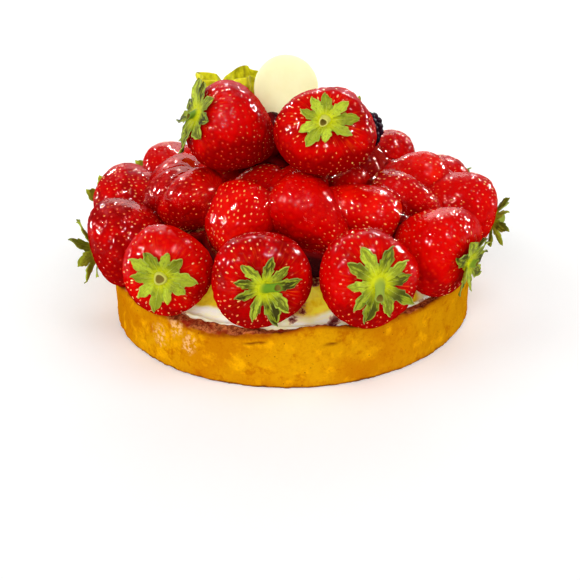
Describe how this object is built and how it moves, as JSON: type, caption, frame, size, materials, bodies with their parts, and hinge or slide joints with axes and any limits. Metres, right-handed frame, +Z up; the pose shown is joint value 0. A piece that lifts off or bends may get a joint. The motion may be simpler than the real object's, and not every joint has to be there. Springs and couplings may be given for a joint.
{
  "type": "strawberry tart",
  "caption": "Round baked tart filled with cream and heaped with glazed whole strawberries, with a pale chocolate disc, a dark berry and a gooseberry husk on top.",
  "frame": {"origin": "centre of the crust's flat underside, on the surface the tart stands on", "axes": "+Z up, -Y towards the front, from where the two foremost top strawberries and the disc are seen, +X to the right of that view"},
  "size_m": [0.2054, 0.1959, 0.1166],
  "materials": {
    "baked_crust": "golden baked crust, fine crumb, browned at the rim",
    "cream": "soft whipped and custard cream",
    "strawberry": "wet clear glaze over red berry",
    "leaf": "fresh matt green leaf",
    "white_chocolate": "smooth pale chocolate",
    "dark_berry": "glazed, almost black",
    "gooseberry": "smooth orange skin",
    "husk": "dry veined papery husk"
  },
  "bodies": {
    "root": {"crust": "baked_crust", "cream": "cream", "strawberry_ring_01": "strawberry", "strawberry_ring_02": "strawberry", "strawberry_ring_03": "strawberry", "strawberry_ring_04": "strawberry", "strawberry_ring_05": "strawberry", "strawberry_ring_06": "strawberry", "strawberry_ring_07": "strawberry", "strawberry_ring_08": "strawberry", "strawberry_ring_09": "strawberry", "strawberry_ring_10": "strawberry", "strawberry_ring_11": "strawberry", "strawberry_ring_12": "strawberry", "strawberry_ring_13": "strawberry", "strawberry_bank_01": "strawberry", "strawberry_bank_02": "strawberry", "strawberry_bank_03": "strawberry", "strawberry_bank_04": "strawberry", "strawberry_bank_05": "strawberry", "strawberry_bank_06": "strawberry", "strawberry_bank_07": "strawberry", "strawberry_bank_08": "strawberry", "strawberry_bank_09": "strawberry", "strawberry_bank_10": "strawberry", "strawberry_bank_11": "strawberry", "strawberry_bank_12": "strawberry", "strawberry_bank_13": "strawberry", "strawberry_high_01": "strawberry", "strawberry_high_02": "strawberry", "strawberry_high_03": "strawberry", "strawberry_high_04": "strawberry", "strawberry_high_05": "strawberry", "strawberry_high_06": "strawberry", "strawberry_high_07": "strawberry", "strawberry_top_01": "strawberry", "strawberry_top_02": "strawberry", "strawberry_top_03": "strawberry", "leaves_ring_01": "leaf", "leaves_ring_02": "leaf", "leaves_ring_03": "leaf", "leaves_ring_04": "leaf", "leaves_ring_05": "leaf", "leaves_ring_06": "leaf", "leaves_ring_07": "leaf", "leaves_ring_08": "leaf", "leaves_ring_09": "leaf", "leaves_ring_10": "leaf", "leaves_ring_11": "leaf", "leaves_ring_12": "leaf", "leaves_ring_13": "leaf", "leaves_top_01": "leaf", "leaves_top_02": "leaf", "leaves_top_03": "leaf", "chocolate_disc": "white_chocolate", "dark_berry": "dark_berry", "gooseberry": "gooseberry", "gooseberry_husk": "husk"}
  },
  "joints": []
}
